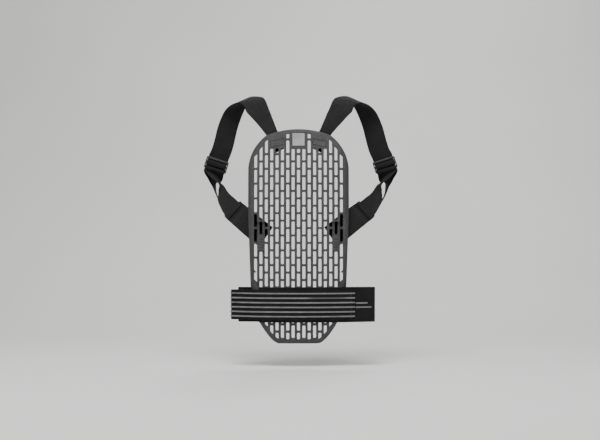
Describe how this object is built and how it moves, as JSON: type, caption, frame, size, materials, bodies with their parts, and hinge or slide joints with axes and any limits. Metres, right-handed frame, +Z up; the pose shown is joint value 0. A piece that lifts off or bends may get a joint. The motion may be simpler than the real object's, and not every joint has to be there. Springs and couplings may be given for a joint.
{
  "type": "back protector",
  "caption": "Slotted foam back protector with two shoulder straps, slide adjusters and a wide elastic belt that closes over the plate.",
  "frame": {"origin": "middle of the plate's inner face, which lies on the wearer's back", "axes": "+Z up along the wearer's spine, +Y towards the wearer, -Y the outer face, +X to the wearer's right"},
  "size_m": [0.4038, 0.1841, 0.5029],
  "materials": {
    "foam": "matte moulded foam",
    "webbing": "woven black strap",
    "elastic": "ribbed black elastic",
    "grip_silicone": "satin grey silicone",
    "badge": "light grey moulded",
    "plastic": "black moulded"
  },
  "bodies": {
    "root": {"protector_plate": "foam", "badge_plaque": "badge", "marking_pad_right": "foam", "marking_pad_left": "foam", "channel_pad_right": "foam", "channel_pad_left": "foam", "shoulder_strap_right": "webbing", "shoulder_strap_left": "webbing", "slide_adjuster_right": "plastic", "slide_adjuster_left": "plastic", "adjuster_strap_right": "webbing", "adjuster_strap_left": "webbing", "side_strap_right": "webbing", "side_strap_left": "webbing", "belt_band": "elastic", "belt_striped_wing": "elastic", "grip_stripe_1": "grip_silicone", "grip_stripe_2": "grip_silicone", "grip_stripe_3": "grip_silicone", "grip_stripe_4": "grip_silicone", "grip_stripe_5": "grip_silicone", "grip_stripe_6": "grip_silicone", "band_stripe_1": "grip_silicone", "band_stripe_2": "grip_silicone"}
  },
  "joints": []
}
